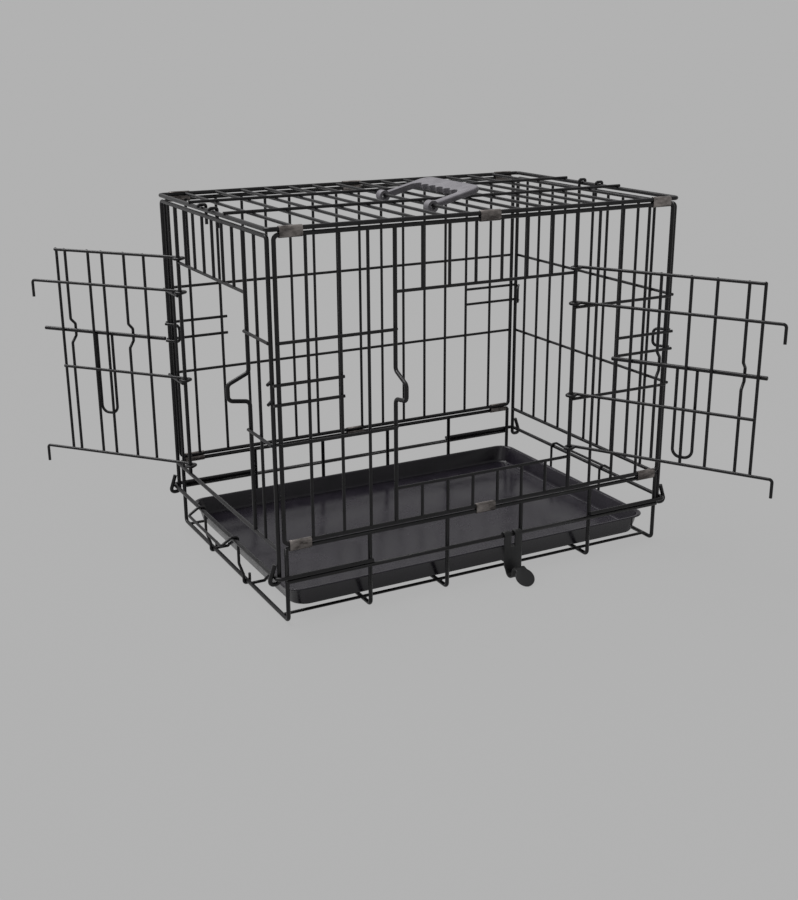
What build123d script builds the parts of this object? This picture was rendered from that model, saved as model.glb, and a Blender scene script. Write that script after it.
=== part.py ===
from build123d import *
import math
import os

# Wire crate for a small dog. Origin: middle of the crate on the floor, X along
# its length (the door end is at -X), Y from the front to the back, Z up. mm.

# Wire sizes and how they meet
frame_wire = 5.6
rail_wire = 5.4
jamb_wire = 5.5
mesh_wire = 4.2
header_wire = 4.3
tie_wire = 3.0
weld_sink = 0.2
seat_gap = 0.02
running_gap = 0.08
eye_play = 0.35

frame_r = frame_wire / 2
mesh_r = mesh_wire / 2
tie_r = tie_wire / 2
outside_step = mesh_wire - weld_sink

# Long panels, front and back
panel_y = 200.1
panel_post_x = 296.0
rail_pair = 6.8
base_rail_z = 105.2
panel_low_z = base_rail_z + rail_pair
panel_high_z = 499.2
rim_z = panel_high_z + rail_pair
frame_bend = 6.0
low_wire_z = 243.0
high_wire_z = 371.2
corner_pair_z = (295.0, 320.0)
corner_pair_reach = (210.0, 305.0)

# Openings and their jambs
front_jamb_x = 136.5
front_header_z = 418.0
front_sill_z = 159.0
front_tall_x = (173.5, 212.0, 256.0)
front_short_x = (19.5, 58.5, 97.5)
back_pitch_x = (
    -266.0, -220.0, -180.0, -143.0, -104.0, -65.5, -26.0,
    12.6, 51.0, 90.0, 129.0, 168.0, 207.5, 254.0,
)
keeper_low_z = 280.0
keeper_high_z = 318.0
keeper_reach = 29.0
keeper_bend = 7.0
keeper_low_rise = 4.0
keeper_high_drop = 13.0

# End panels
end_x = 303.0
end_post_y = 196.0
end_top_z = 497.8
end_rail_z = 104.0
end_jamb_y = 137.0
end_latch_y = -119.5
end_header_z = 419.0
left_tall_y = (-155.0, 168.0)
left_short_y = (-82.0, -45.5, -9.0, 27.0, 64.0, 100.0)
right_tall_y = (168.0, 132.0, 97.0, 61.5, 26.0, -10.0, -46.0, -81.0, -117.0, -153.0)
eye_bend = 5.0
eye_below_rod = 9.0
eye_tail_lean = math.radians(19.0)
corner_loop_length = 24.0
corner_loop_slope = math.radians(53.5)
hook_y = (21.0, -21.0)
hook_root = 12.0
hook_gap = 0.3
hook_tip = 3.4

# Base and floor
base_post_x = 294.0
cross_x = (59.0, 176.0)
mid_rail_z = 62.0
floor_outer_y = 165.0
floor_inner_y = 71.0
floor_step = 20.0
floor_rise = 3.0
pan_under_z = 15.0

# Hinge rods and the ties that hold them
rod_x = end_x + frame_wire + running_gap
rod_z = mid_rail_z + frame_wire + seat_gap
rod_leg_end = 174.0
rod_bend = 7.0
tie_y = (78.0, -54.0)
tie_lift = 0.2
tie_play = 0.1
tie_bend_ease = 0.6
bail_x = 329.0
bail_z = 62.5

# Top panel
rim_x = 304.0
top_bar_y = 66.0
top_bar_end = 3.0

# Doors, measured from the hinge axis: along the door, then out of its plane
door_clear = 0.6
door_plane = frame_r + outside_step + mesh_r + door_clear
eye_pass = 0.4
door_eye_z = (low_wire_z + mesh_wire + eye_pass, high_wire_z + mesh_wire + eye_pass)
door_bend = 4.2
door_eye_short = 4.0
door_hook_drop = 25.0
front_door_turn = 300.5
front_door_edge = 250.5
front_door_hook = 281.0
front_door_bars = (77.7, 155.6, 189.6)
front_door_keepers = (114.9, 230.0)
front_door_z = (171.5, 424.0)
left_door_turn = 130.0
left_door_edge = 216.0
left_door_hook = 261.0
left_door_bars = (66.0, 137.0, 161.0)
left_door_keepers = (99.5, 201.0)
left_door_z = (116.5, 424.0)

# Sliding bolts
bolt_z = 302.0
bolt_length = 212.0
bolt_gap = 0.3
bolt_end_chamfer = 0.8
front_bolt_start = 49.5
left_bolt_start = 40.5
bolt_grip_at = 93.0
bolt_grip_width = 27.0
bolt_grip_low = 178.6
bolt_grip_bend = 11.0
keeper_bar_half = 9.0

# Sleeves that hold the rails in pairs
sleeve_wall = 1.0
sleeve_slack = 0.2
sleeve_length = 30.0
sleeve_x = (-274.7, 0.0, 274.7)

# Carry handle
pivot_x = -26.0
handle_eye_y = (44.0, -94.5)
handle_arm = 13.0
handle_eye_r = 8.0
handle_hole_r = 4.0
handle_thick = 8.0
handle_grip_near = 49.0
handle_grip_far = 62.0
handle_corner = 18.0
handle_inner_corner = 6.0
groove_r = 9.0
groove_count = 6
groove_pitch = 20.0
handle_edge = 3.0

# Fold latch
latch_x = 41.0
latch_width = 28.0
latch_thick = 2.8
latch_foot_z = 4.2
latch_tab_r = 11.0
latch_tab_y = -239.0
latch_eye_wall = 2.0
latch_eye_inset = 0.6

# Pan
pan_rim_z = 42.0
pan_top = (578.0, 388.0)
pan_mouth = (568.0, 380.0)
pan_floor = (556.0, 372.0)
pan_wall = 2.0
pan_rim = 1.8
pan_corner = 22.0
pan_rib = (3.0, 1.0)
pan_rib_margin = 66.0
pan_rib_x = (-210.0, -140.0, -70.0, 0.0, 70.0, 140.0, 210.0)


def add_bent_wire(points, diameter, bend, close=False):
    """One round wire bent along the points."""
    with BuildLine() as path:
        FilletPolyline(*points, radius=bend, close=close)
    with BuildSketch(Plane(origin=path.line @ 0, z_dir=path.line % 0)) as profile:
        Circle(diameter / 2)
    sweep(sections=profile.sketch, path=path.line)


def add_wires_x(low, high, y, levels, diameter):
    """Straight wires along X, one at each height."""
    with Locations(*[((low + high) / 2, y, z) for z in levels]):
        Cylinder(diameter / 2, high - low, rotation=(0, 90, 0))


def add_wires_y(low, high, stations, z, diameter):
    """Straight wires along Y, one at each station along X."""
    with Locations(*[(x, (low + high) / 2, z) for x in stations]):
        Cylinder(diameter / 2, high - low, rotation=(90, 0, 0))


def add_posts(spots, low, high, diameter):
    """Upright wires at the given spots."""
    with Locations(*[(x, y, (low + high) / 2) for x, y in spots]):
        Cylinder(diameter / 2, high - low)


def keeper_jamb(low, high, spot):
    """Path of a jamb whose middle is bent out into a keeper for the bolt."""
    outline = [
        (0, low),
        (0, keeper_low_z),
        (keeper_reach, keeper_low_z + keeper_low_rise),
        (keeper_reach, keeper_high_z - keeper_high_drop),
        (0, keeper_high_z),
        (0, high),
    ]
    return [spot(out, z) for out, z in outline]


def add_door(heights, edge, hook, bars, keepers, out):
    """One door in its own frame: X along it from the hinge axis, Y out of it."""
    eye = frame_r + eye_play + mesh_r
    plane = door_plane
    levels = (heights[0], door_eye_z[0], door_eye_z[1], heights[1])
    for z in levels:
        eye_path = [
            (-eye, plane * out),
            (-eye, -eye * out),
            (eye, -eye * out),
            (eye, (plane - door_eye_short) * out),
        ]
        far = [(edge, plane * out, z)]
        if z in (levels[0], levels[2]):
            far = [(hook, plane * out, z - door_hook_drop), (hook, plane * out, z)]
        add_bent_wire(far + [(x, y, z) for x, y in eye_path], mesh_wire, door_bend)
    bar_y = (plane + outside_step) * out
    add_posts([(d, bar_y) for d in bars + (edge,)], heights[0], heights[1], mesh_wire)
    kink_y = (plane + outside_step + mesh_wire + frame_wire + 2 * bolt_gap) * out
    for d in keepers:
        add_bent_wire(
            [
                (d, bar_y, heights[0]),
                (d, bar_y, bolt_z - 2 * keeper_bar_half),
                (d, kink_y, bolt_z - keeper_bar_half),
                (d, kink_y, bolt_z + keeper_bar_half),
                (d, bar_y, bolt_z + 2 * keeper_bar_half),
                (d, bar_y, heights[1]),
            ],
            mesh_wire,
            keeper_bend / 2,
        )


def add_corner_loop(side, end):
    """Wire loop welded across the corner of an end panel."""
    step_x = math.cos(corner_loop_slope)
    step_y = math.sin(corner_loop_slope)
    clear = frame_r + mesh_r - weld_sink
    near_x = end_x + clear * step_y + 3 * step_x
    near_y = end_post_y - clear * step_x + 3 * step_y
    far_x = near_x - corner_loop_length * step_x
    far_y = near_y - corner_loop_length * step_y
    low, high = corner_pair_z
    spots = [(near_x, near_y, high), (far_x, far_y, high), (far_x, far_y, low), (near_x, near_y, low)]
    add_bent_wire([(side * x, end * y, z) for x, y, z in spots], mesh_wire, keeper_bend)


def add_end_frame(side):
    """Posts, top rail, bottom rail and hinge eyes of an end panel."""
    low_z = rod_z - eye_below_rod
    tail_x = (frame_wire + running_gap) / math.cos(eye_tail_lean)
    flare_x = rod_x + tail_x + eye_below_rod * math.tan(eye_tail_lean)
    tail_z = rod_z + tail_x / math.tan(eye_tail_lean)
    eye = [
        (rod_x, tail_z),
        (flare_x, low_z),
        (end_x, low_z),
        (end_x, end_top_z),
    ]
    front = [(side * x, -end_post_y, z) for x, z in eye]
    back = [(side * x, end_post_y, z) for x, z in reversed(eye)]
    add_bent_wire(front + back, frame_wire, eye_bend)
    add_wires_y(-end_post_y, end_post_y, (side * end_x,), end_rail_z, rail_wire)
    root_x = end_x - frame_r - mesh_r + 2 * weld_sink
    tip_x = rim_x + frame_r + mesh_r + hook_gap
    top_z = rim_z + frame_r + mesh_r + hook_gap
    for y in hook_y:
        add_bent_wire(
            [
                (side * root_x, y, end_top_z - hook_root),
                (side * root_x, y, top_z),
                (side * tip_x, y, top_z),
                (side * tip_x, y, top_z - hook_tip),
            ],
            mesh_wire,
            mesh_r + weld_sink,
        )
    for end in (-1, 1):
        add_corner_loop(side, end)


# Base: floor grid with its front and back strips folded up
with BuildPart() as base_frame:
    end_floor_z = tie_lift + tie_wire + tie_play + frame_r
    for x in (-base_post_x, -cross_x[1], -cross_x[0], cross_x[0], cross_x[1], base_post_x):
        low = end_floor_z if abs(x) == base_post_x else frame_r
        add_bent_wire(
            [(x, -panel_y, base_rail_z), (x, -panel_y, low), (x, panel_y, low), (x, panel_y, base_rail_z)],
            frame_wire,
            frame_bend,
        )
    for side in (-1, 1):
        add_wires_x(-base_post_x, base_post_x, side * panel_y, (base_rail_z,), frame_wire)
        mid_y = side * (panel_y + frame_wire - 2 * weld_sink)
        add_wires_x(-base_post_x, base_post_x, mid_y, (mid_rail_z,), frame_wire)
    grid_z = frame_wire + mesh_r - weld_sink
    for y in (-floor_outer_y, floor_outer_y):
        add_wires_x(-base_post_x, base_post_x, y, (grid_z,), mesh_wire)
    for y in (-floor_inner_y, floor_inner_y):
        foot = base_post_x - floor_step
        shelf = foot - floor_rise
        add_bent_wire(
            [
                (-base_post_x, y, grid_z),
                (-foot, y, grid_z),
                (-shelf, y, pan_under_z - mesh_r),
                (shelf, y, pan_under_z - mesh_r),
                (foot, y, grid_z),
                (base_post_x, y, grid_z),
            ],
            mesh_wire,
            mesh_r + weld_sink,
        )

# Hinge rods that carry the end panels
rod_y = panel_y + frame_wire + seat_gap


def add_hinge_rod(side):
    """One U-shaped hinge rod lying on the mid rails."""
    add_bent_wire(
        [
            (side * rod_leg_end, -rod_y, rod_z),
            (side * rod_x, -rod_y, rod_z),
            (side * rod_x, rod_y, rod_z),
            (side * rod_leg_end, rod_y, rod_z),
        ],
        frame_wire,
        rod_bend,
    )


with BuildPart() as left_hinge_rod:
    add_hinge_rod(-1)
with BuildPart() as right_hinge_rod:
    add_hinge_rod(1)


def add_rod_tie(side):
    """Wire tie from the floor end wire over the hinge rod, with its bail."""
    ring = frame_r + tie_play + tie_r
    over_z = rod_z + frame_r + tie_r + seat_gap
    leg_x = rod_x - frame_r - tie_r - seat_gap
    half = [
        (base_post_x - ring, end_floor_z + 2 * ring),
        (base_post_x - ring, end_floor_z - ring),
        (base_post_x + ring, end_floor_z - ring),
        (base_post_x + ring, end_floor_z + 2 * ring),
        (leg_x, end_floor_z + 6 * ring),
        (leg_x, over_z),
        (rod_x + frame_wire, over_z),
        (bail_x, bail_z),
    ]
    near = [(side * x, tie_y[0], z) for x, z in half]
    far = [(side * x, tie_y[1], z) for x, z in reversed(half)]
    add_bent_wire(near + far, tie_wire, ring - tie_bend_ease)


with BuildPart() as left_rod_tie:
    add_rod_tie(-1)
with BuildPart() as right_rod_tie:
    add_rod_tie(1)


def add_panel_frame(y):
    """Closed frame of a long panel with the paired wires at its corners."""
    corners = [
        (panel_post_x, y, panel_low_z),
        (panel_post_x, y, panel_high_z),
        (-panel_post_x, y, panel_high_z),
        (-panel_post_x, y, panel_low_z),
    ]
    add_bent_wire(corners, frame_wire, frame_bend, close=True)
    outer_y = y + math.copysign(outside_step, y)
    for side in (-1, 1):
        low, high = sorted(side * x for x in corner_pair_reach)
        add_wires_x(low, high, outer_y, corner_pair_z, mesh_wire)


with BuildPart() as front_panel:
    add_panel_frame(-panel_y)
    wire_y = -(panel_y + outside_step)
    tall = [(side * x, -panel_y) for x in front_tall_x for side in (-1, 1)]
    add_posts(tall, panel_low_z, panel_high_z, mesh_wire)
    short = [(side * x, -panel_y) for x in front_short_x for side in (-1, 1)]
    add_posts(short, front_header_z, panel_high_z, mesh_wire)
    add_posts(short, panel_low_z, front_sill_z, mesh_wire)
    for side in (-1, 1):
        low, high = sorted((side * front_jamb_x, side * (panel_post_x + mesh_r)))
        add_wires_x(low, high, wire_y, (low_wire_z, high_wire_z), mesh_wire)
    add_wires_x(-front_jamb_x, front_jamb_x, -panel_y, (front_header_z, front_sill_z), mesh_wire)
    add_posts([(front_jamb_x, -panel_y)], panel_low_z, panel_high_z, jamb_wire)
    front_keeper = keeper_jamb(
        panel_low_z, panel_high_z, lambda out, z: (-front_jamb_x, -panel_y - out, z)
    )
    add_bent_wire(front_keeper, jamb_wire, keeper_bend)

with BuildPart() as back_panel:
    add_panel_frame(panel_y)
    add_posts([(x, panel_y) for x in back_pitch_x], panel_low_z, panel_high_z, mesh_wire)
    reach = panel_post_x + mesh_r
    add_wires_x(-reach, reach, panel_y + outside_step, (low_wire_z, high_wire_z), mesh_wire)

with BuildPart() as top_panel:
    rim = [(rim_x, panel_y), (-rim_x, panel_y), (-rim_x, -panel_y), (rim_x, -panel_y)]
    add_bent_wire([(x, y, rim_z) for x, y in rim], frame_wire, frame_bend, close=True)
    add_wires_y(-panel_y, panel_y, back_pitch_x, rim_z, mesh_wire)
    bar_reach = rim_x + top_bar_end
    for y in (-top_bar_y, top_bar_y):
        add_wires_x(-bar_reach, bar_reach, y, (rim_z + outside_step,), mesh_wire)

with BuildPart() as left_end_panel:
    add_end_frame(-1)
    outer_x = -(end_x + outside_step)
    for z in (low_wire_z, high_wire_z):
        add_wires_y(-end_post_y - mesh_r, end_latch_y, (outer_x,), z, mesh_wire)
        add_wires_y(end_jamb_y, end_post_y + mesh_r, (outer_x,), z, mesh_wire)
    add_posts([(-end_x, y) for y in left_tall_y + left_short_y], end_header_z, end_top_z, mesh_wire)
    add_posts([(-end_x, y) for y in left_tall_y], end_rail_z, end_header_z + weld_sink, mesh_wire)
    add_wires_y(end_latch_y, end_jamb_y, (-end_x,), end_header_z, header_wire)
    add_posts([(-end_x, end_jamb_y)], end_rail_z, end_top_z, jamb_wire)
    left_keeper = keeper_jamb(end_rail_z, end_top_z, lambda out, z: (-end_x - out, end_latch_y, z))
    add_bent_wire(left_keeper, jamb_wire, keeper_bend)

with BuildPart() as right_end_panel:
    add_end_frame(1)
    add_posts([(end_x, y) for y in right_tall_y], end_rail_z, end_top_z, mesh_wire)
    outer_x = end_x + outside_step
    reach = end_post_y + mesh_r
    for z in (low_wire_z, high_wire_z):
        add_wires_y(-reach, reach, (outer_x,), z, mesh_wire)

# Doors and bolts are drawn in the door's own frame and then turned open
front_turn = math.radians(front_door_turn)
left_turn = math.radians(left_door_turn)
front_hinge = Plane(
    origin=(front_jamb_x, -panel_y, 0),
    x_dir=(math.cos(front_turn), math.sin(front_turn), 0),
    z_dir=(0, 0, 1),
)
left_hinge = Plane(
    origin=(-end_x, end_jamb_y, 0),
    x_dir=(math.cos(left_turn), math.sin(left_turn), 0),
    z_dir=(0, 0, 1),
)

with BuildPart() as front_door_flat:
    add_door(front_door_z, front_door_edge, front_door_hook, front_door_bars, front_door_keepers, 1)
with BuildPart() as left_door_flat:
    add_door(left_door_z, left_door_edge, left_door_hook, left_door_bars, left_door_keepers, -1)

bolt_out = door_plane + outside_step + mesh_r + bolt_gap + frame_r


def add_bolt_rod(start, out):
    """Round bolt rod lying along the door."""
    with Locations((start + bolt_length / 2, out * bolt_out, bolt_z)):
        Cylinder(frame_r, bolt_length, rotation=(0, 90, 0))
    chamfer(edges().filter_by(GeomType.CIRCLE), bolt_end_chamfer)


def add_bolt_handle(start, out):
    """Hanging loop handle under the bolt rod."""
    top = bolt_z - frame_r - running_gap
    near = start + bolt_grip_at
    far = near + bolt_grip_width
    loop = [(near, top), (near, bolt_grip_low), (far, bolt_grip_low), (far, top)]
    add_bent_wire([(d, out * bolt_out, z) for d, z in loop], mesh_wire, bolt_grip_bend)


with BuildPart() as front_bolt_rod_flat:
    add_bolt_rod(front_bolt_start, 1)
with BuildPart() as front_bolt_handle_flat:
    add_bolt_handle(front_bolt_start, 1)
with BuildPart() as left_bolt_rod_flat:
    add_bolt_rod(left_bolt_start, -1)
with BuildPart() as left_bolt_handle_flat:
    add_bolt_handle(left_bolt_start, -1)

front_door = front_hinge.location * front_door_flat.part
front_bolt_rod = front_hinge.location * front_bolt_rod_flat.part
front_bolt_handle = front_hinge.location * front_bolt_handle_flat.part
left_door = left_hinge.location * left_door_flat.part
left_bolt_rod = left_hinge.location * left_bolt_rod_flat.part
left_bolt_handle = left_hinge.location * left_bolt_handle_flat.part

# Carry handle: flat moulding with two eyes, tipped up so the grip rests on a bar
bar_top = rim_z + outside_step + mesh_r + running_gap
eye_drop = handle_hole_r - mesh_r - running_gap
pivot_z = rim_z - eye_drop
rest_rise = bar_top + handle_thick / 2 - pivot_z
tilt = math.asin(rest_rise / handle_grip_near)
tilt += handle_thick / 2 * (1 - math.cos(tilt)) / handle_grip_near
handle_plane = Plane(
    origin=(pivot_x, sum(handle_eye_y) / 2, pivot_z),
    x_dir=(math.cos(tilt), 0, math.sin(tilt)),
    z_dir=(-math.sin(tilt), 0, math.cos(tilt)),
)
handle_span = handle_eye_y[0] - handle_eye_y[1]
with BuildPart() as carry_handle_flat:
    with BuildSketch(Plane.XY.offset(-handle_thick / 2)):
        with Locations((handle_grip_far / 2, 0)):
            RectangleRounded(handle_grip_far + 2 * handle_corner, handle_span + handle_arm, handle_corner)
        with Locations((-handle_corner, 0)):
            Rectangle(2 * handle_corner, handle_span + 2 * handle_arm, mode=Mode.SUBTRACT)
        with Locations((handle_grip_near / 2 - handle_corner, 0)):
            RectangleRounded(
                handle_grip_near + 2 * handle_corner, handle_span - handle_arm, handle_inner_corner,
                mode=Mode.SUBTRACT,
            )
        with Locations((handle_grip_near - groove_r / 2, 0)):
            with GridLocations(1, groove_pitch, 1, groove_count):
                Circle(groove_r, mode=Mode.SUBTRACT)
    extrude(amount=handle_thick)
    fillet(edges().filter_by(GeomType.LINE).filter_by(Axis.Y).group_by(Axis.X)[-1], handle_edge)
    with Locations((0, handle_span / 2, 0), (0, -handle_span / 2, 0)):
        Cylinder(handle_eye_r, handle_arm, rotation=(90, 0, 0))
        Cylinder(handle_hole_r, 2 * handle_arm, rotation=(90, 0, 0), mode=Mode.SUBTRACT)
carry_handle = handle_plane.location * carry_handle_flat.part

# Fold latch: strap with an eye round the front mid rail and a thumb tab
with BuildPart() as fold_latch:
    rail_y = -(panel_y + frame_wire - 2 * weld_sink)
    face_y = rail_y - frame_r - running_gap - latch_thick / 2 + latch_eye_inset
    with BuildSketch(Plane.YZ.offset(latch_x - latch_width / 2)):
        with Locations((rail_y, mid_rail_z)):
            Circle(frame_r + running_gap + latch_eye_wall)
        with BuildLine():
            Polyline(
                (face_y + latch_thick / 2, mid_rail_z),
                (face_y + latch_thick / 2, latch_foot_z + 2 * latch_thick),
                (face_y - latch_thick, latch_foot_z),
                (latch_tab_y, latch_foot_z + latch_thick),
                (latch_tab_y, latch_foot_z + 2 * latch_thick),
                (face_y - 1.5 * latch_thick, latch_foot_z + 1.2 * latch_thick),
                (face_y - latch_thick / 2, latch_foot_z + 2.6 * latch_thick),
                (face_y - latch_thick / 2, mid_rail_z),
                close=True,
            )
        make_face()
        with Locations((rail_y, mid_rail_z)):
            Circle(frame_r + running_gap, mode=Mode.SUBTRACT)
    extrude(amount=latch_width)
    with Locations((latch_x, latch_tab_y, latch_foot_z + 1.5 * latch_thick)):
        Cylinder(latch_tab_r, latch_thick)

# Pan: tapered tray with a flat rim and low ribs
with BuildPart() as pan:
    with BuildSketch(Plane.XY.offset(pan_under_z)):
        RectangleRounded(pan_floor[0], pan_floor[1], pan_corner)
    with BuildSketch(Plane.XY.offset(pan_rim_z)):
        RectangleRounded(pan_mouth[0], pan_mouth[1], pan_corner)
    loft()
    with BuildSketch(Plane.XY.offset(pan_rim_z - pan_rim)):
        RectangleRounded(pan_top[0], pan_top[1], pan_corner)
    extrude(amount=pan_rim)
    with BuildSketch(Plane.XY.offset(pan_under_z + pan_wall)):
        RectangleRounded(pan_floor[0] - 2 * pan_wall, pan_floor[1] - 2 * pan_wall, pan_corner - pan_wall)
    with BuildSketch(Plane.XY.offset(pan_rim_z + pan_wall)):
        RectangleRounded(pan_mouth[0] - 2 * pan_wall, pan_mouth[1] - 2 * pan_wall, pan_corner - pan_wall)
    loft(mode=Mode.SUBTRACT)
    with Locations(*[(x, 0, pan_under_z + pan_wall + pan_rib[1] / 2) for x in pan_rib_x]):
        Box(pan_rib[0], pan_floor[1] - pan_rib_margin, pan_rib[1])


def add_sleeve(x, y, z, uprights, from_below):
    """Sheet sleeve round a pair of rails, open inside where the wires join."""
    wall = frame_r + seat_gap + sleeve_wall
    slit = mesh_wire + 2 * sleeve_slack
    inner_y = y - math.copysign(wall, y)
    with BuildSketch(Plane.YZ.offset(x - sleeve_length / 2)) as section:
        with Locations((y, z + rail_pair / 2)):
            SlotCenterToCenter(rail_pair, 2 * wall, rotation=90)
            SlotCenterToCenter(rail_pair, 2 * (wall - sleeve_wall), rotation=90, mode=Mode.SUBTRACT)
        with Locations((inner_y, z + rail_pair)):
            Rectangle(2 * wall, slit, mode=Mode.SUBTRACT)
    extrude(to_extrude=section.sketch, amount=sleeve_length)
    crossing = [u for u in uprights if abs(u - x) < sleeve_length / 2 + mesh_wire]
    mouth_z = z - wall if from_below else z + rail_pair + wall
    if crossing:
        with Locations(*[(u, y, mouth_z) for u in crossing]):
            Box(slit, 4 * wall, 2 * wall, mode=Mode.SUBTRACT)


sleeves = {}
for edge, y, z, uprights in (
    ("front_top", -panel_y, panel_high_z, ()),
    ("front_base", -panel_y, base_rail_z, ()),
    ("back_top", panel_y, panel_high_z, back_pitch_x),
    ("back_base", panel_y, base_rail_z, back_pitch_x),
):
    for place, x in zip(("left", "middle", "right"), sleeve_x):
        with BuildPart() as sleeve:
            add_sleeve(x, y, z, uprights, z == panel_high_z)
        sleeves["sleeve_" + edge + "_" + place] = sleeve.part

nodes = {
    "base_frame": base_frame.part,
    "left_hinge_rod": left_hinge_rod.part,
    "right_hinge_rod": right_hinge_rod.part,
    "left_rod_tie": left_rod_tie.part,
    "right_rod_tie": right_rod_tie.part,
    "front_panel": front_panel.part,
    "back_panel": back_panel.part,
    "top_panel": top_panel.part,
    "left_end_panel": left_end_panel.part,
    "right_end_panel": right_end_panel.part,
    "front_door": front_door,
    "left_door": left_door,
    "front_bolt_rod": front_bolt_rod,
    "front_bolt_handle": front_bolt_handle,
    "left_bolt_rod": left_bolt_rod,
    "left_bolt_handle": left_bolt_handle,
    "carry_handle": carry_handle,
    "fold_latch": fold_latch.part,
    "pan": pan.part,
}
nodes.update(sleeves)

os.makedirs("parts", exist_ok=True)
for name, shape in nodes.items():
    shape.label = name
    export_step(shape, "parts/" + name + ".step")
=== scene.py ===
import math

import bmesh
import bpy
from mathutils import Matrix, Vector


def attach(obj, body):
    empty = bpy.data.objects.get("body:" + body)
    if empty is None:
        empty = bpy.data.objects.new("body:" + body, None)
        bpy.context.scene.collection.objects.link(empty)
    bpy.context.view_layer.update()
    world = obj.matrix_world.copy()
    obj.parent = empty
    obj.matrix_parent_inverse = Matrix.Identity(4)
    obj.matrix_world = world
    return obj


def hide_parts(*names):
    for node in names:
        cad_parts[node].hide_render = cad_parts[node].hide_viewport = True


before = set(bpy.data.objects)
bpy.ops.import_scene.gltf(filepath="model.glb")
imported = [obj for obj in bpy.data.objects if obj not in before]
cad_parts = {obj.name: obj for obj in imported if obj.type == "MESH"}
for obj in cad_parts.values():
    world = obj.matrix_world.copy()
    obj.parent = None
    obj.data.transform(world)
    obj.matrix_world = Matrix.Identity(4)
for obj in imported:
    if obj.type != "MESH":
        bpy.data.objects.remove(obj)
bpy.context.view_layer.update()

# Studio: an endless pale grey sheet under the crate, one wide soft lamp high up behind
# its left end and a faint one beside the camera, an even sky, and the camera at the
# angle of the photograph.
studio_grey = (0.445, 0.445, 0.445, 1.0)
sheet_reach = 60.0
paper_scale, paper_dark, paper_light = 40.0, 0.27, 0.29
shown_strength, shown_share = 1.05, 0.88
sky_strength = 0.1


def new_material(name):
    """An empty material with its output and its shader."""
    material = bpy.data.materials.new(name)
    material.use_nodes = True
    material.node_tree.nodes.clear()
    output = material.node_tree.nodes.new("ShaderNodeOutputMaterial")
    shader = material.node_tree.nodes.new("ShaderNodeBsdfPrincipled")
    material.node_tree.links.new(shader.outputs["BSDF"], output.inputs["Surface"])
    return material, material.node_tree, shader, output


def camera_or_glossy(tree):
    """1 for the rays that show the background, in the camera or in a gloss, else 0."""
    rays = tree.nodes.new("ShaderNodeLightPath")
    either = tree.nodes.new("ShaderNodeMath")
    either.operation = "MAXIMUM"
    tree.links.new(rays.outputs["Is Camera Ray"], either.inputs[0])
    tree.links.new(rays.outputs["Is Glossy Ray"], either.inputs[1])
    return either.outputs["Value"]


def in_scene(name, data):
    """An object of the data, linked to the scene."""
    thing = bpy.data.objects.new(name, data)
    bpy.context.scene.collection.objects.link(thing)
    return thing


sheet_material, tree, shader, output = new_material("studio_sheet")
shader.inputs["Roughness"].default_value = 0.95
shader.inputs["Specular IOR Level"].default_value = 0.1
paper = tree.nodes.new("ShaderNodeTexNoise")
paper.inputs["Scale"].default_value = paper_scale
paper_tint = tree.nodes.new("ShaderNodeMapRange")
paper_tint.inputs["To Min"].default_value = paper_dark
paper_tint.inputs["To Max"].default_value = paper_light
tree.links.new(paper.outputs["Fac"], paper_tint.inputs["Value"])
tree.links.new(paper_tint.outputs["Result"], shader.inputs["Base Color"])
shown = tree.nodes.new("ShaderNodeEmission")
shown.inputs["Color"].default_value = studio_grey
shown.inputs["Strength"].default_value = shown_strength
share = tree.nodes.new("ShaderNodeMath")
share.operation = "MULTIPLY"
share.inputs[1].default_value = shown_share
mix = tree.nodes.new("ShaderNodeMixShader")
tree.links.new(camera_or_glossy(tree), share.inputs[0])
tree.links.new(share.outputs["Value"], mix.inputs["Fac"])
tree.links.new(shader.outputs["BSDF"], mix.inputs[1])
tree.links.new(shown.outputs["Emission"], mix.inputs[2])
tree.links.new(mix.outputs["Shader"], output.inputs["Surface"])

sheet_mesh = bpy.data.meshes.new("studio_sheet")
sheet_corners = [(x * sheet_reach, y * sheet_reach, 0) for x, y in ((-1, -1), (1, -1), (1, 1), (-1, 1))]
sheet_mesh.from_pydata(sheet_corners, [], [(0, 1, 2, 3)])
sheet_mesh.materials.append(sheet_material)
studio_sheet = in_scene("studio_sheet", sheet_mesh)

world = bpy.data.worlds.new("studio_sky")
bpy.context.scene.world = world
world.use_nodes = True
sky = world.node_tree
sky.nodes.clear()
sky_out = sky.nodes.new("ShaderNodeOutputWorld")
sky_light = sky.nodes.new("ShaderNodeBackground")
sky_light.inputs["Color"].default_value = (1.0, 1.0, 1.0, 1.0)
sky_light.inputs["Strength"].default_value = sky_strength
sky_seen = sky.nodes.new("ShaderNodeBackground")
sky_seen.inputs["Color"].default_value = studio_grey
sky_mix = sky.nodes.new("ShaderNodeMixShader")
sky.links.new(camera_or_glossy(sky), sky_mix.inputs["Fac"])
sky.links.new(sky_light.outputs["Background"], sky_mix.inputs[1])
sky.links.new(sky_seen.outputs["Background"], sky_mix.inputs[2])
sky.links.new(sky_mix.outputs["Shader"], sky_out.inputs["Surface"])

for lamp_name, strength, spread_deg, shines in (
    ("top_lamp", 2.9, 50, (0.34, -0.42, -1.0)),
    ("front_lamp", 0.1, 30, (0.7, 0.8, -0.5)),
):
    lamp_data = bpy.data.lights.new(lamp_name, "SUN")
    lamp_data.energy = strength
    lamp_data.angle = math.radians(spread_deg)
    lamp = in_scene(lamp_name, lamp_data)
    lamp.rotation_euler = Vector(shines).to_track_quat("-Z", "Y").to_euler()

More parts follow.
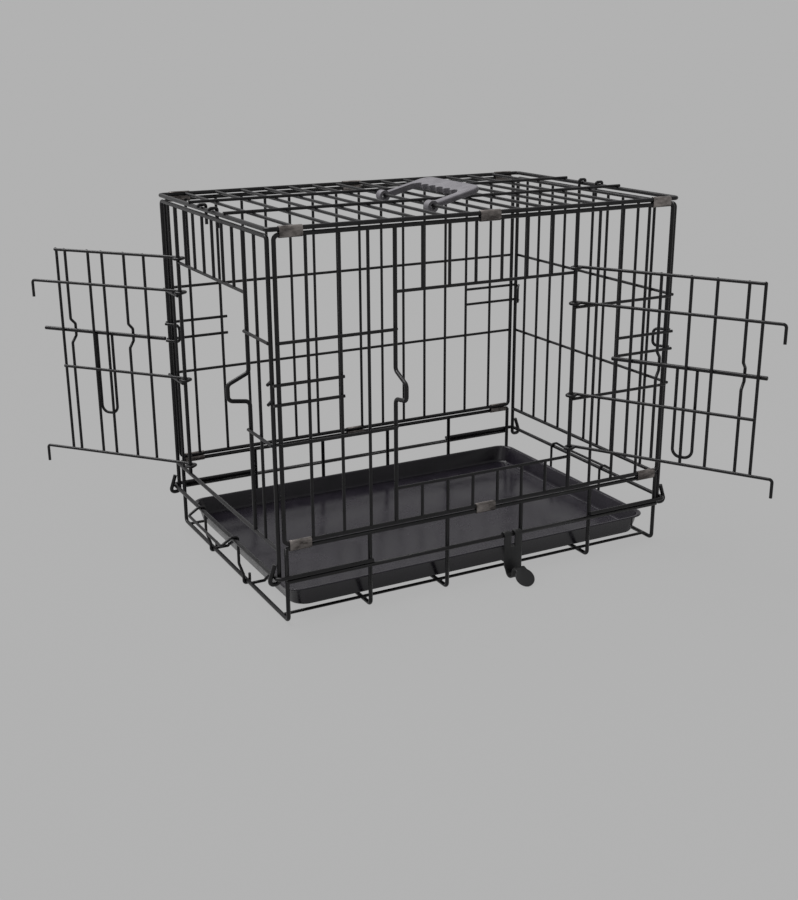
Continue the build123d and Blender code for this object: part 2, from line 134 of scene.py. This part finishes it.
camera_place = (-0.84954, -1.5491, 0.71255)
turn, tip, roll = math.radians(28.0), math.radians(18.177), math.radians(-0.316)
camera_data = bpy.data.cameras.new("camera")
camera_data.sensor_fit = "HORIZONTAL"
camera_data.sensor_width = 36.0
camera_data.lens = 56.179
camera_data.clip_end = 200.0
camera = in_scene("camera", camera_data)
look = Vector((math.sin(turn) * math.cos(tip), math.cos(turn) * math.cos(tip), -math.sin(tip)))
level = Vector((math.cos(turn), -math.sin(turn), 0.0))
above = level.cross(look)
right = math.cos(roll) * level + math.sin(roll) * above
up = -math.sin(roll) * level + math.cos(roll) * above
camera.matrix_world = Matrix.Translation(camera_place) @ Matrix(
    (
        (right.x, up.x, -look.x, 0.0),
        (right.y, up.y, -look.y, 0.0),
        (right.z, up.z, -look.z, 0.0),
        (0.0, 0.0, 0.0, 1.0),
    )
)
bpy.context.scene.camera = camera
bpy.context.scene.view_settings.view_transform = "Standard"

# Wire walls: the long panels, the top, the end panels and the hinge rods, of drawn
# steel wire, bent and cross-welded. A thin black dip coat gives them a soft gloss, with
# some orange peel, dull patches where it is thin, and grains of dust on top.
patch_from, patch_full = 0.4, 0.68
speck_edge, speck_core = 0.16, 0.06
relief_depth = 0.0004

surface_marks = bpy.data.node_groups.new("surface_marks", "ShaderNodeTree")
for socket, kind in (
    ("Place", "NodeSocketVector"), ("Grain scale", "NodeSocketFloat"), ("Patch scale", "NodeSocketFloat"),
):
    surface_marks.interface.new_socket(name=socket, in_out="INPUT", socket_type=kind)
for socket in ("Grain", "Patches", "Specks"):
    surface_marks.interface.new_socket(name=socket, in_out="OUTPUT", socket_type="NodeSocketFloat")
marks_in = surface_marks.nodes.new("NodeGroupInput")
marks_out = surface_marks.nodes.new("NodeGroupOutput")
grain = surface_marks.nodes.new("ShaderNodeTexNoise")
grain.inputs["Detail"].default_value = 3.0
patches = surface_marks.nodes.new("ShaderNodeTexNoise")
patches.inputs["Detail"].default_value = 4.0
patches.inputs["Roughness"].default_value = 0.65
patch_edge = surface_marks.nodes.new("ShaderNodeMapRange")
patch_edge.inputs["From Min"].default_value = patch_from
patch_edge.inputs["From Max"].default_value = patch_full
specks = surface_marks.nodes.new("ShaderNodeTexVoronoi")
speck_size = surface_marks.nodes.new("ShaderNodeMapRange")
speck_size.inputs["From Min"].default_value = speck_edge
speck_size.inputs["From Max"].default_value = speck_core
for node in (grain, patches, specks):
    surface_marks.links.new(marks_in.outputs["Place"], node.inputs["Vector"])
surface_marks.links.new(marks_in.outputs["Grain scale"], grain.inputs["Scale"])
surface_marks.links.new(marks_in.outputs["Patch scale"], patches.inputs["Scale"])
surface_marks.links.new(marks_in.outputs["Grain scale"], specks.inputs["Scale"])
surface_marks.links.new(patches.outputs["Fac"], patch_edge.inputs["Value"])
surface_marks.links.new(specks.outputs["Distance"], speck_size.inputs["Value"])
surface_marks.links.new(grain.outputs["Fac"], marks_out.inputs["Grain"])
surface_marks.links.new(patch_edge.outputs["Result"], marks_out.inputs["Patches"])
surface_marks.links.new(speck_size.outputs["Result"], marks_out.inputs["Specks"])


def finish(name, deep, thin, dust, rough, grain_scale, patch_scale, relief, stretch=(1, 1, 1), more=()):
    """A surface with its colour, patches of a second tone (wear, and on the sleeves also painted reflection),
    specks of dust and fine relief.
    """
    material, tree, shader, _ = new_material(name)
    place = tree.nodes.new("ShaderNodeTexCoord")
    along = tree.nodes.new("ShaderNodeMapping")
    along.inputs["Scale"].default_value = stretch
    marks = tree.nodes.new("ShaderNodeGroup")
    marks.node_tree = surface_marks
    marks.inputs["Grain scale"].default_value = grain_scale
    marks.inputs["Patch scale"].default_value = patch_scale
    tree.links.new(place.outputs["Object"], along.inputs["Vector"])
    tree.links.new(along.outputs["Vector"], marks.inputs["Place"])
    worn = tree.nodes.new("ShaderNodeMix")
    worn.data_type = "RGBA"
    worn.inputs["A"].default_value = (*deep, 1.0)
    worn.inputs["B"].default_value = (*thin, 1.0)
    dusty = tree.nodes.new("ShaderNodeMix")
    dusty.data_type = "RGBA"
    dusty.inputs["B"].default_value = (*dust, 1.0)
    tree.links.new(marks.outputs["Patches"], worn.inputs["Factor"])
    tree.links.new(marks.outputs["Specks"], dusty.inputs["Factor"])
    tree.links.new(worn.outputs["Result"], dusty.inputs["A"])
    tree.links.new(dusty.outputs["Result"], shader.inputs["Base Color"])
    dull = tree.nodes.new("ShaderNodeMapRange")
    dull.inputs["To Min"].default_value = rough[0]
    dull.inputs["To Max"].default_value = rough[1]
    tree.links.new(marks.outputs["Patches"], dull.inputs["Value"])
    tree.links.new(dull.outputs["Result"], shader.inputs["Roughness"])
    bump = tree.nodes.new("ShaderNodeBump")
    bump.inputs["Strength"].default_value = relief
    bump.inputs["Distance"].default_value = relief_depth
    tree.links.new(marks.outputs["Grain"], bump.inputs["Height"])
    tree.links.new(bump.outputs["Normal"], shader.inputs["Normal"])
    for socket, value in more:
        shader.inputs[socket].default_value = value
    return material


coated_wire = finish(
    "coated_wire", deep=(0.0075, 0.007, 0.008), thin=(0.014, 0.013, 0.015), dust=(0.045, 0.043, 0.045),
    rough=(0.26, 0.42), grain_scale=1400.0, patch_scale=55.0, relief=0.15,
    more=(("Specular IOR Level", 0.3), ("Coat Weight", 0.1), ("Coat Roughness", 0.2)),
)


def dress(node, material):
    """Puts the material on a piece that keeps its solid's own mesh."""
    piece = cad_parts[node]
    if not piece.material_slots:
        piece.data.materials.append(material)
    for place in piece.material_slots:
        place.material = material


for node in (
    "front_panel", "back_panel", "top_panel", "left_end_panel", "right_end_panel",
    "left_hinge_rod", "right_hinge_rod",
):
    dress(node, coated_wire)

# Base grid: the floor wires with both long sides folded up, welded and dipped like the
# walls. Its two outer floor bars lie just outside the foot of the pan, on top of the
# cross wires, which is further out than the solid has them.
same_point, wire_sharp_deg = 2e-5, 50
solid_bar_y, solid_bar_z, bar_reach = 0.165, 0.0075, 0.0023
bar_shift = 0.0175


def joined_copy(node):
    """A copy of the solid's own mesh, and its work mesh with the triangles joined."""
    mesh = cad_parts[node].data.copy()
    work = bmesh.new()
    work.from_mesh(mesh)
    bmesh.ops.remove_doubles(work, verts=work.verts, dist=same_point)
    return mesh, work


def wire_copy(node, change):
    """The solid's own mesh with its points moved by change, in the solid's place."""
    mesh, work = joined_copy(node)
    bmesh.ops.recalc_face_normals(work, faces=work.faces)
    work.normal_update()
    moved = [(point, change(point)) for point in work.verts]
    for point, place in moved:
        point.co = place
    work.to_mesh(mesh)
    work.free()
    mesh.materials.clear()
    mesh.materials.append(coated_wire)
    mesh.shade_smooth()
    mesh.set_sharp_from_angle(angle=math.radians(wire_sharp_deg))
    piece = in_scene(node + "_wires", mesh)
    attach(piece, "crate")
    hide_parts(node)


def floor_bars_out(point):
    """Moves a point of the two outer floor bars outward along the cross wires."""
    x, y, z = point.co
    if abs(abs(y) - solid_bar_y) < bar_reach and abs(z - solid_bar_z) < bar_reach:
        return Vector((x, y + math.copysign(bar_shift, y), z))
    return point.co.copy()


wire_copy("base_frame", floor_bars_out)

# Rod ties: springy wire bent into a ring, a hook and a bail. The wire is nearly as thick
# as that of the walls, so the solid's wire is drawn 1 mm thicker.
tie_skin = 0.0005
floor_clear = 0.0001


def thicker(point):
    """Moves a point of a tie out from its wire, and never under the floor."""
    place = point.co + tie_skin * point.normal
    return Vector((place.x, place.y, max(place.z, floor_clear)))


for node in ("left_rod_tie", "right_rod_tie"):
    wire_copy(node, thicker)

# Doors and their slide bolts: the same coated wire, with a thicker round rod for each
# bolt and a hanging loop to pull it by.
for node in (
    "front_door", "left_door", "front_bolt_rod", "front_bolt_handle", "left_bolt_rod", "left_bolt_handle",
):
    dress(node, coated_wire)

# Weld spots: every crossing of two wires is fused under electrodes before the dip,
# which leaves a small rounded bead in each corner, all of nearly the same size.
bead_radius = 0.0026
bead_least, bead_most, bead_seed = 0.9, 1.08, 7

weld_tree = bpy.data.node_groups.new("weld_spots", "GeometryNodeTree")
weld_tree.interface.new_socket(name="Crossings", in_out="INPUT", socket_type="NodeSocketGeometry")
bead_size = weld_tree.interface.new_socket(name="Bead radius", in_out="INPUT", socket_type="NodeSocketFloat")
bead_finish = weld_tree.interface.new_socket(name="Finish", in_out="INPUT", socket_type="NodeSocketMaterial")
weld_tree.interface.new_socket(name="Beads", in_out="OUTPUT", socket_type="NodeSocketGeometry")
spots_in = weld_tree.nodes.new("NodeGroupInput")
spots_out = weld_tree.nodes.new("NodeGroupOutput")
bead = weld_tree.nodes.new("GeometryNodeMeshIcoSphere")
bead.inputs["Subdivisions"].default_value = 2
uneven = weld_tree.nodes.new("FunctionNodeRandomValue")
uneven.data_type = "FLOAT"
uneven.inputs[2].default_value = bead_least
uneven.inputs[3].default_value = bead_most
uneven.inputs["Seed"].default_value = bead_seed
place_beads = weld_tree.nodes.new("GeometryNodeInstanceOnPoints")
real_beads = weld_tree.nodes.new("GeometryNodeRealizeInstances")
smooth_beads = weld_tree.nodes.new("GeometryNodeSetShadeSmooth")
coat_beads = weld_tree.nodes.new("GeometryNodeSetMaterial")
weld_tree.links.new(spots_in.outputs["Bead radius"], bead.inputs["Radius"])
weld_tree.links.new(spots_in.outputs["Crossings"], place_beads.inputs["Points"])
weld_tree.links.new(bead.outputs["Mesh"], place_beads.inputs["Instance"])
weld_tree.links.new(uneven.outputs[1], place_beads.inputs["Scale"])
weld_tree.links.new(place_beads.outputs["Instances"], real_beads.inputs["Geometry"])
weld_tree.links.new(real_beads.outputs["Geometry"], smooth_beads.inputs["Geometry"])
weld_tree.links.new(smooth_beads.outputs["Geometry"], coat_beads.inputs["Geometry"])
weld_tree.links.new(spots_in.outputs["Finish"], coat_beads.inputs["Material"])
weld_tree.links.new(coat_beads.outputs["Geometry"], spots_out.inputs["Beads"])


def settle(piece):
    """Turns what the piece's modifier makes into the piece's plain mesh."""
    whole = bpy.context.evaluated_depsgraph_get()
    done = bpy.data.meshes.new_from_object(piece.evaluated_get(whole))
    piece.modifiers.clear()
    piece.data = done


def weld_spots(name, body, crossings):
    """Beads at the crossings, as one plain mesh that rides on the body."""
    mesh = bpy.data.meshes.new(name)
    mesh.from_pydata([[c / 1000 for c in point] for point in crossings], [], [])
    piece = in_scene(name, mesh)
    welds = piece.modifiers.new("welds", "NODES")
    welds.node_group = weld_tree
    welds[bead_size.identifier] = bead_radius
    welds[bead_finish.identifier] = coated_wire
    settle(piece)
    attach(piece, body)


# Crossings in millimetres, at the wires of the solids and of the base grid above.
both = (-1, 1)
wall_levels = (243, 371.2)
wall_y, corner_y, end_x, end_wire_x = 202.1, 196, 305, 296
back_x = (-266, -220, -180, -143, -104, -65.5, -26, 12.6, 51, 90, 129, 168, 207.5, 254)
front_x = (136.5, 173.5, 212, 256, end_wire_x)
right_y = (168, 132, 97, 61.5, 26, -10, -46, -81, -117, -153)
left_y = (-155, 168, 137, -119.5)
top_z, top_bar_y, top_edge_x = 508, 66, 304
cross_x = (59, 176)
floor_z, floor_bar_y = 5.7, 182.5
mid_rail_y, mid_rail_z, strip_end_x = 202.7, 62, 294

crossings = [(x, wall_y, z) for x in back_x for z in wall_levels]
crossings += [(side * x, -wall_y, z) for x in front_x for z in wall_levels for side in both]
crossings += [(side * end_wire_x, wall_y, z) for z in wall_levels for side in both]
crossings += [(x, side * top_bar_y, top_z) for x in back_x for side in both]
crossings += [(side * top_edge_x, end * top_bar_y, top_z) for end in both for side in both]
crossings += [(end_x, y, z) for y in right_y for z in wall_levels]
crossings += [(-end_x, y, z) for y in left_y for z in wall_levels]
crossings += [(side * end_x, end * corner_y, z) for z in wall_levels for side in both for end in both]
crossings += [(side * x, end * floor_bar_y, floor_z) for x in cross_x for end in both for side in both]
crossings += [
    (side * x, end * mid_rail_y, mid_rail_z) for x in (*cross_x, strip_end_x) for side in both for end in both
]
weld_spots("crate_welds", "crate", crossings)


def door_spots(hinge, turn_deg, out, bars, levels):
    """Crossings of a door that stands open, from its hinge and its angle."""
    turn = math.radians(turn_deg)
    spots = []
    for bar in bars:
        for z in levels:
            x = hinge[0] + bar * math.cos(turn) - out * math.sin(turn)
            y = hinge[1] + bar * math.sin(turn) + out * math.cos(turn)
            spots.append((x, y, z))
    return spots


front_hinge, front_turn, front_out = (136.5, -200.1), 300.5, 11.5
front_bars = (77.7, 114.9, 155.6, 189.6, 230, 250.5)
front_levels = (171.5, 247.6, 375.8, 424)
front_spots = door_spots(front_hinge, front_turn, front_out, front_bars, front_levels)
weld_spots("front_door_welds", "front_door", front_spots)
left_hinge, left_turn, left_out = (-303, 137), 130, -11.5
left_bars = (66, 99.5, 137, 161, 201, 216)
left_levels = (116.5, 247.6, 375.8, 424)
left_spots = door_spots(left_hinge, left_turn, left_out, left_bars, left_levels)
weld_spots("left_door_welds", "left_door", left_spots)

# Sleeves: strips of thin plated sheet rolled round each pair of rails, so that the
# walls can turn on the base and the top when the crate is folded.
sleeve_edge, sleeve_steps = 0.00025, 2
flat_deg, rounded_deg, moulded_sharp_deg = 1.0, 40, 38
# The sleeve colour is mottled from dark brown to light grey. Its light patches are painted reflections of the
# lamps, mixed with the plating's own uneven tone.
sleeve_sheet_painted_sheen = finish(
    "sleeve_sheet_painted_sheen", deep=(0.07, 0.06, 0.056), thin=(0.42, 0.38, 0.36), dust=(0.035, 0.031, 0.03),
    rough=(0.26, 0.42), grain_scale=700.0, patch_scale=75.0, relief=0.2, stretch=(0.4, 1, 1),
    more=(("Metallic", 0.6),),
)


def moulded_copy(node, body, material, edge, steps):
    """The solid's own mesh with its sharp edges rounded, in the solid's place."""
    mesh, work = joined_copy(node)
    bmesh.ops.dissolve_limit(work, angle_limit=math.radians(flat_deg), verts=work.verts, edges=work.edges)
    bmesh.ops.recalc_face_normals(work, faces=work.faces)
    work.to_mesh(mesh)
    work.free()
    mesh.materials.clear()
    mesh.materials.append(material)
    piece = in_scene(node + "_moulding", mesh)
    rounding = piece.modifiers.new("rounding", "BEVEL")
    rounding.width = edge
    rounding.segments = steps
    rounding.limit_method = "ANGLE"
    rounding.angle_limit = math.radians(rounded_deg)
    settle(piece)
    piece.data.shade_smooth()
    piece.data.set_sharp_from_angle(angle=math.radians(moulded_sharp_deg))
    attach(piece, body)
    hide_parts(node)


for node in list(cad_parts):
    if node.startswith("sleeve_"):
        moulded_copy(node, "crate", sleeve_sheet_painted_sheen, sleeve_edge, sleeve_steps)

# Carry handle: one moulding of dark grey plastic with finger grooves, hung by two
# eyes on a wire of the top. Its edges are rounded, as they come from the mould.
handle_edge, handle_steps = 0.0012, 3
handle_plastic = finish(
    "handle_plastic", deep=(0.2, 0.19, 0.21), thin=(0.26, 0.25, 0.27), dust=(0.31, 0.3, 0.32),
    rough=(0.42, 0.58), grain_scale=2200.0, patch_scale=70.0, relief=0.35,
)
moulded_copy("carry_handle", "carry_handle", handle_plastic, handle_edge, handle_steps)

# Fold latch: a strap of black plastic snapped on the front mid rail by two ears. Its
# foot turns up into a hook and a ridge, and ends in a round thumb tab that slopes down
# to the floor.
latch_plastic = finish(
    "latch_plastic", deep=(0.013, 0.013, 0.014), thin=(0.02, 0.02, 0.021), dust=(0.05, 0.05, 0.05),
    rough=(0.45, 0.62), grain_scale=2400.0, patch_scale=90.0, relief=0.4,
)
latch_x, latch_rail_y, latch_rail_z = 0.041, -0.2053, 0.062
strap_thick = 0.0028
strap_soft = 0.3 * strap_thick
corner_turns = (0, 30, 60, 90)


def skin(work, loops):
    """Faces between each loop of points and the next, and a cap at either end."""
    size = len(loops[0])
    for one, two in zip(loops, loops[1:]):
        for i in range(size):
            work.faces.new((one[i], one[(i + 1) % size], two[(i + 1) % size], two[i]))
    work.faces.new(list(reversed(loops[0])))
    work.faces.new(loops[-1])


def sweep_strip(work, line, shift=0.0):
    """A strip of even thickness along a line of (y, z, half width), closed at its ends."""
    loops = []
    for i, (y, z, half) in enumerate(line):
        before, after = line[max(i - 1, 0)], line[min(i + 1, len(line) - 1)]
        run = Vector((after[0] - before[0], after[1] - before[1])).normalized()
        across = Vector((-run.y, run.x))
        soft = min(strap_soft, half / 2)
        loop = []
        for side, face, corner in ((1, 1, 0), (-1, 1, 90), (-1, -1, 180), (1, -1, 270)):
            for step in corner_turns:
                around = math.radians(corner + step)
                x = side * (half - soft) + soft * math.cos(around)
                n = face * (strap_thick / 2 - soft) + soft * math.sin(around)
                loop.append(work.verts.new((latch_x + shift + x, y + across.x * n, z + across.y * n)))
        loops.append(loop)
    skin(work, loops)


def shaped_mesh(name, work, material, sharp_deg):
    """The work mesh as a smooth mesh of the material that keeps its sharper edges."""
    bmesh.ops.recalc_face_normals(work, faces=work.faces)
    mesh = bpy.data.meshes.new(name)
    work.to_mesh(mesh)
    work.free()
    mesh.materials.append(material)
    mesh.shade_smooth()
    mesh.set_sharp_from_angle(angle=math.radians(sharp_deg))
    return mesh


strap_y, strap_top, strap_half = -0.2092, 0.0455, 0.014
ear_half, ear_apart, ear_turn_r = 0.0055, 0.0085, 0.0045
ear_from, ear_sweep, ear_steps = -42, 222, 30
ear = []
for step in range(ear_steps + 1):
    around = math.radians(ear_from + ear_sweep * step / ear_steps)
    y = latch_rail_y + ear_turn_r * math.cos(around)
    ear.append((y, latch_rail_z + ear_turn_r * math.sin(around), ear_half))
ear += [(strap_y, z, ear_half) for z in (0.0575, 0.048, strap_top)]

strap = [(strap_y, z, strap_half) for z in (strap_top, 0.03, 0.021)]
strap += [(strap_y, 0.0165, 0.0132), (strap_y, 0.0125, 0.0115)]
hook_r, hook_z, hook_sweep, hook_steps = 0.0062, 0.0095, 165, 14
hook_half, neck_half = 0.0105, 0.0085
for step in range(1, hook_steps + 1):
    around = math.radians(-hook_sweep * step / hook_steps)
    half = hook_half - (hook_half - neck_half) * step / hook_steps
    y = strap_y - hook_r + hook_r * math.cos(around)
    strap.append((y, hook_z + hook_r * math.sin(around), half))
ridge = ((-0.2216, 0.0135), (-0.2226, 0.0165), (-0.2245, 0.0187), (-0.2270, 0.0194), (-0.2292, 0.0186))
strap += [(y, z, neck_half) for y, z in ridge]
tab_y, tab_z, tab_r, tab_slope = -0.2414, 0.0107, 0.014, math.radians(38)
tab_sweep, tab_steps, least_square = 142, 24, 1e-7
for step in range(tab_steps + 1):
    along = tab_r * math.cos(math.radians(tab_sweep * (1 - step / tab_steps)))
    half = math.sqrt(max(tab_r**2 - along**2, least_square))
    strap.append((tab_y - along * math.cos(tab_slope), tab_z - along * math.sin(tab_slope), half))

work = bmesh.new()
sweep_strip(work, ear, -ear_apart)
sweep_strip(work, ear, ear_apart)
sweep_strip(work, strap)
latch_strap = in_scene("latch_strap", shaped_mesh("latch_strap", work, latch_plastic, sharp_deg=60))
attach(latch_strap, "fold_latch")
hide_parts("fold_latch")

# Pan: a thin black plastic tray, vacuum drawn, with a rolled rim, soft corners and
# a slightly glossy floor that lies on the raised wires.
pan_plastic = finish(
    "pan_plastic", deep=(0.017, 0.0145, 0.021), thin=(0.026, 0.0225, 0.031), dust=(0.05, 0.046, 0.056),
    rough=(0.16, 0.3), grain_scale=900.0, patch_scale=22.0, relief=0.08,
    more=(("Specular IOR Level", 0.36),),
)
# Each row is a length, a width, a height and a corner radius.
outer_skin = (
    (0.5420, 0.3580, 0.0156, 0.019), (0.5500, 0.3660, 0.0150, 0.020), (0.5545, 0.3705, 0.0158, 0.022),
    (0.5565, 0.3725, 0.0180, 0.022), (0.5672, 0.3794, 0.0394, 0.022), (0.5690, 0.3808, 0.0402, 0.022),
)
rolled_rim = (
    (0.5764, 0.3866, 0.0402, 0.023), (0.5778, 0.3878, 0.0406, 0.023), (0.5780, 0.3880, 0.0412, 0.023),
    (0.5774, 0.3874, 0.0418, 0.023), (0.5764, 0.3866, 0.0420, 0.023), (0.5690, 0.3812, 0.0420, 0.022),
)
inner_skin = (
    (0.5664, 0.3788, 0.0414, 0.021), (0.5650, 0.3772, 0.0400, 0.020), (0.5545, 0.3705, 0.0210, 0.020),
    (0.5525, 0.3685, 0.0184, 0.020), (0.5490, 0.3650, 0.0173, 0.019), (0.5440, 0.3600, 0.0170, 0.018),
)
corner_steps = 10
work = bmesh.new()
rings = []
for length, width, height, radius in outer_skin + rolled_rim + inner_skin:
    ring = []
    for quarter in range(4):
        side_x = 1 if quarter in (0, 3) else -1
        side_y = 1 if quarter in (0, 1) else -1
        for step in range(corner_steps + 1):
            around = math.radians(90 * quarter + 90 * step / corner_steps)
            x = side_x * (length / 2 - radius) + radius * math.cos(around)
            y = side_y * (width / 2 - radius) + radius * math.sin(around)
            ring.append(work.verts.new((x, y, height)))
    rings.append(ring)
skin(work, rings)
pan_tray = in_scene("pan_tray", shaped_mesh("pan_tray", work, pan_plastic, sharp_deg=50))
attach(pan_tray, "pan")
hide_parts("pan")
